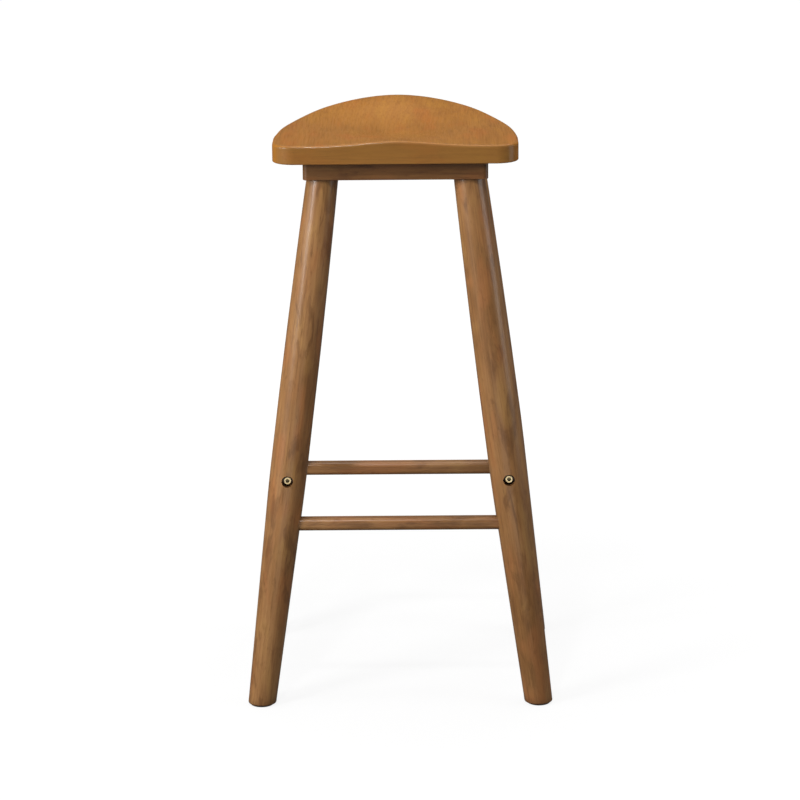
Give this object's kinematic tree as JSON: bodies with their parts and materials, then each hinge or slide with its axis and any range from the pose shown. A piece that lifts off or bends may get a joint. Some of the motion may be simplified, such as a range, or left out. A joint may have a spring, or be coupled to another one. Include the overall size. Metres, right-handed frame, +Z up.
{
  "type": "bar stool",
  "caption": "Backless wooden bar stool with a carved seat, splayed turned legs, a footrest rung and brass joining bolts.",
  "frame": {"origin": "on the floor in the middle of the footprint of the four feet", "axes": "+Z up; -Y towards the front, the side with the straight edge of the seat; +X to the right as seen from the front"},
  "size_m": [0.4041, 0.3245, 0.7663],
  "materials": {
    "seat_wood": "satin lacquered honey-brown wood, taken to be walnut",
    "frame_wood": "satin lacquered medium-brown wood, taken to be walnut",
    "brass": "satin brass",
    "steel": "zinc-plated steel",
    "glide_plastic": "dark brown nylon"
  },
  "bodies": {
    "root": {"seat": "seat_wood", "front_rail": "frame_wood", "back_rail": "frame_wood", "front_rung": "frame_wood", "back_rung": "frame_wood", "left_rung": "frame_wood", "right_rung": "frame_wood", "leg_front_left": "frame_wood", "rung_bolt_front_left": "brass", "rung_insert_front_left": "brass", "seat_bolt_front_left": "steel", "seat_washer_front_left": "steel", "seat_insert_front_left": "brass", "foot_glide_front_left": "glide_plastic", "leg_front_right": "frame_wood", "rung_bolt_front_right": "brass", "rung_insert_front_right": "brass", "seat_bolt_front_right": "steel", "seat_washer_front_right": "steel", "seat_insert_front_right": "brass", "foot_glide_front_right": "glide_plastic", "leg_back_left": "frame_wood", "rung_bolt_back_left": "brass", "rung_insert_back_left": "brass", "seat_bolt_back_left": "steel", "seat_washer_back_left": "steel", "seat_insert_back_left": "brass", "foot_glide_back_left": "glide_plastic", "leg_back_right": "frame_wood", "rung_bolt_back_right": "brass", "rung_insert_back_right": "brass", "seat_bolt_back_right": "steel", "seat_washer_back_right": "steel", "seat_insert_back_right": "brass", "foot_glide_back_right": "glide_plastic"}
  },
  "joints": []
}
